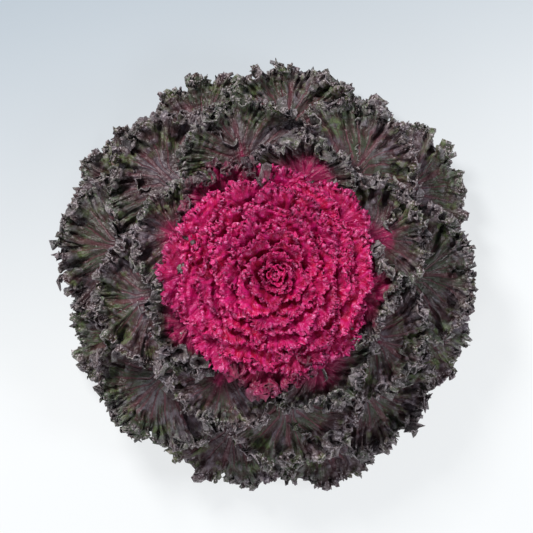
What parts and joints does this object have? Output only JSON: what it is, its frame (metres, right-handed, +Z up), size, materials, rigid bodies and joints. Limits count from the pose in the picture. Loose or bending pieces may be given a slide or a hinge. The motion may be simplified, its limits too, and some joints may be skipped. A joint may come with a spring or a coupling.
{
  "type": "ornamental kale head",
  "caption": "Cut head of ornamental kale: a flat-ended woody stem, dark ruffled outer leaves, and a tight rosette of fringed magenta heart leaves.",
  "frame": {"origin": "centre of the stem's flat cut face", "axes": "+Z up along the stem, from the cut face to the growing tip; X and Y along the surface it stands on"},
  "size_m": [0.328, 0.3332, 0.1255],
  "materials": {
    "stem": "matte, pale green bark with leaf scars",
    "outer_leaf": "waxy satin",
    "collar_leaf": "waxy satin",
    "heart_leaf": "waxy satin"
  },
  "bodies": {
    "root": {"stem": "stem", "growing_tip": "heart_leaf", "outer_leaf_01": "outer_leaf", "outer_leaf_02": "outer_leaf", "outer_leaf_03": "outer_leaf", "outer_leaf_04": "outer_leaf", "outer_leaf_05": "outer_leaf", "outer_leaf_06": "outer_leaf", "outer_leaf_07": "outer_leaf", "outer_leaf_08": "outer_leaf", "outer_leaf_09": "outer_leaf", "outer_leaf_10": "outer_leaf", "outer_leaf_11": "outer_leaf", "outer_leaf_12": "outer_leaf", "outer_leaf_13": "outer_leaf", "outer_leaf_14": "outer_leaf", "outer_leaf_15": "outer_leaf", "outer_leaf_16": "outer_leaf", "outer_leaf_17": "outer_leaf", "outer_leaf_18": "outer_leaf", "outer_leaf_19": "outer_leaf", "outer_leaf_20": "outer_leaf", "outer_leaf_21": "outer_leaf", "collar_leaf_01": "collar_leaf", "collar_leaf_02": "collar_leaf", "collar_leaf_03": "collar_leaf", "collar_leaf_04": "collar_leaf", "collar_leaf_05": "collar_leaf", "collar_leaf_06": "collar_leaf", "collar_leaf_07": "collar_leaf", "heart_leaf_01": "heart_leaf", "heart_leaf_02": "heart_leaf", "heart_leaf_03": "heart_leaf", "heart_leaf_04": "heart_leaf", "heart_leaf_05": "heart_leaf", "heart_leaf_06": "heart_leaf", "heart_leaf_07": "heart_leaf", "heart_leaf_08": "heart_leaf", "heart_leaf_09": "heart_leaf", "heart_leaf_10": "heart_leaf", "heart_leaf_11": "heart_leaf", "heart_leaf_12": "heart_leaf", "heart_leaf_13": "heart_leaf", "heart_leaf_14": "heart_leaf", "heart_leaf_15": "heart_leaf", "heart_leaf_16": "heart_leaf", "heart_leaf_17": "heart_leaf", "heart_leaf_18": "heart_leaf", "heart_leaf_19": "heart_leaf", "heart_leaf_20": "heart_leaf", "heart_leaf_21": "heart_leaf", "heart_leaf_22": "heart_leaf", "heart_leaf_23": "heart_leaf", "heart_leaf_24": "heart_leaf", "heart_leaf_25": "heart_leaf", "heart_leaf_26": "heart_leaf", "heart_leaf_27": "heart_leaf", "heart_leaf_28": "heart_leaf", "heart_leaf_29": "heart_leaf"}
  },
  "joints": []
}
